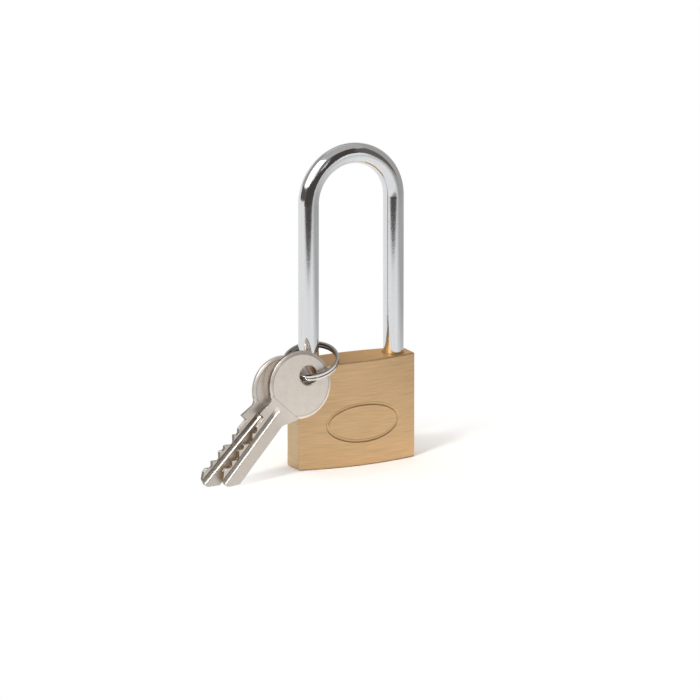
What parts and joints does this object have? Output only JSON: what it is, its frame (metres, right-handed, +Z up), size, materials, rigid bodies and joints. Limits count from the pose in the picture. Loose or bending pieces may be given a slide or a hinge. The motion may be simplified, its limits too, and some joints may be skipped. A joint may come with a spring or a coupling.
{
  "type": "padlock",
  "caption": "Brass-bodied padlock with a long round shackle, cylinder mechanism inside, and keys on a split ring round one leg.",
  "frame": {"origin": "centre of the keyway in the bottom face of the body, which stands on the floor", "axes": "+Z up along the shackle's legs, +X to the right seen from the front, +Y to the back"},
  "size_m": [0.0754, 0.0187, 0.1004],
  "materials": {
    "body_brass": "horizontally brushed, lacquered",
    "plug_brass": "turned",
    "shackle_chrome": "bright chrome plate over hardened steel",
    "ring_steel": "bright nickel plate over spring steel",
    "key_nickel": "satin nickel plate over brass, bare brass in the cuts",
    "hard_steel": "ground",
    "spring_steel": "drawn wire"
  },
  "bodies": {
    "lock_body": {"lock_body": "body_brass", "heel_pin": "hard_steel", "plug_pin": "hard_steel", "bore_plug": "body_brass", "heel_spring": "spring_steel", "chamber_plug_1": "body_brass", "chamber_plug_2": "body_brass", "chamber_plug_3": "body_brass", "chamber_plug_4": "body_brass", "chamber_plug_5": "body_brass", "pin_spring_1": "spring_steel", "pin_spring_2": "spring_steel", "pin_spring_3": "spring_steel", "pin_spring_4": "spring_steel", "pin_spring_5": "spring_steel"},
    "plug": {"plug": "plug_brass", "drive_pin_toe": "hard_steel", "drive_pin_heel": "hard_steel"},
    "toe_bolt": {"toe_bolt": "hard_steel"},
    "heel_bolt": {"heel_bolt": "hard_steel"},
    "shackle": {"shackle": "shackle_chrome"},
    "split_ring": {"split_ring": "ring_steel"},
    "key_front": {"key_front": "key_nickel"},
    "key_rear": {"key_rear": "key_nickel"},
    "driver_pin_1": {"driver_pin_1": "plug_brass"},
    "driver_pin_2": {"driver_pin_2": "plug_brass"},
    "driver_pin_3": {"driver_pin_3": "plug_brass"},
    "driver_pin_4": {"driver_pin_4": "plug_brass"},
    "driver_pin_5": {"driver_pin_5": "plug_brass"},
    "key_pin_1": {"key_pin_1": "plug_brass"},
    "key_pin_2": {"key_pin_2": "plug_brass"},
    "key_pin_3": {"key_pin_3": "plug_brass"},
    "key_pin_4": {"key_pin_4": "plug_brass"},
    "key_pin_5": {"key_pin_5": "plug_brass"}
  },
  "joints": [
    {"name": "plug_turn", "type": "hinge", "parent": "lock_body", "child": "plug", "pos_m": [0, 0, 0], "axis": [0, 0, 1], "range_deg": [0, 90]},
    {"name": "toe_bolt_slide", "type": "slide", "parent": "lock_body", "child": "toe_bolt", "axis": [-1, 0, 0], "range_m": [0, 0.00354]},
    {"name": "heel_bolt_slide", "type": "slide", "parent": "lock_body", "child": "heel_bolt", "axis": [1, 0, 0], "range_m": [0, 0.00354]},
    {"name": "shackle_lift", "type": "slide", "parent": "lock_body", "child": "shackle", "axis": [0, 0, 1], "range_m": [0, 0.0105], "deforming": ["heel_spring"]},
    {"name": "ring_swing", "type": "hinge", "parent": "lock_body", "child": "split_ring", "pos_m": [-0.01355, 0.00367, 0.03709], "axis": [-0.7536, 0.6573, 0], "range_deg": [0, 25]},
    {"name": "key_front_swing", "type": "hinge", "parent": "split_ring", "child": "key_front", "pos_m": [-0.01956, -0.00881, 0.03145], "axis": [-0.0122, 0.9979, -0.0637], "range_deg": [0, 30]},
    {"name": "key_rear_swing", "type": "hinge", "parent": "split_ring", "child": "key_rear", "pos_m": [-0.02346, -0.00621, 0.02968], "axis": [0.0206, 0.9942, -0.1057], "range_deg": [0, 30]},
    {"name": "driver_pin_1_slide", "type": "slide", "parent": "lock_body", "child": "driver_pin_1", "axis": [1, 0, 0], "range_m": [0, 0.0025], "stiffness_N_per_m": 60, "springref_m": -0.004, "deforming": ["pin_spring_1"]},
    {"name": "driver_pin_2_slide", "type": "slide", "parent": "lock_body", "child": "driver_pin_2", "axis": [1, 0, 0], "range_m": [0, 0.0025], "stiffness_N_per_m": 60, "springref_m": -0.004, "deforming": ["pin_spring_2"]},
    {"name": "driver_pin_3_slide", "type": "slide", "parent": "lock_body", "child": "driver_pin_3", "axis": [1, 0, 0], "range_m": [0, 0.0025], "stiffness_N_per_m": 60, "springref_m": -0.004, "deforming": ["pin_spring_3"]},
    {"name": "driver_pin_4_slide", "type": "slide", "parent": "lock_body", "child": "driver_pin_4", "axis": [1, 0, 0], "range_m": [0, 0.0025], "stiffness_N_per_m": 60, "springref_m": -0.004, "deforming": ["pin_spring_4"]},
    {"name": "driver_pin_5_slide", "type": "slide", "parent": "lock_body", "child": "driver_pin_5", "axis": [1, 0, 0], "range_m": [0, 0.0025], "stiffness_N_per_m": 60, "springref_m": -0.004, "deforming": ["pin_spring_5"]},
    {"name": "key_pin_1_slide", "type": "slide", "parent": "plug", "child": "key_pin_1", "axis": [-1, 0, 0], "range_m": [0, 0.0015]},
    {"name": "key_pin_2_slide", "type": "slide", "parent": "plug", "child": "key_pin_2", "axis": [-1, 0, 0], "range_m": [0, 0.0006]},
    {"name": "key_pin_3_slide", "type": "slide", "parent": "plug", "child": "key_pin_3", "axis": [-1, 0, 0], "range_m": [0, 0.0018]},
    {"name": "key_pin_4_slide", "type": "slide", "parent": "plug", "child": "key_pin_4", "axis": [-1, 0, 0], "range_m": [0, 0.0009]},
    {"name": "key_pin_5_slide", "type": "slide", "parent": "plug", "child": "key_pin_5", "axis": [-1, 0, 0], "range_m": [0, 0.0013]}
  ],
  "couplings": [
    {"joint": "plug_turn", "follows": "shackle_lift", "rad_per_m": 149.6},
    {"joint": "toe_bolt_slide", "follows": "shackle_lift", "ratio": 0.33671},
    {"joint": "heel_bolt_slide", "follows": "shackle_lift", "ratio": 0.33671}
  ]
}
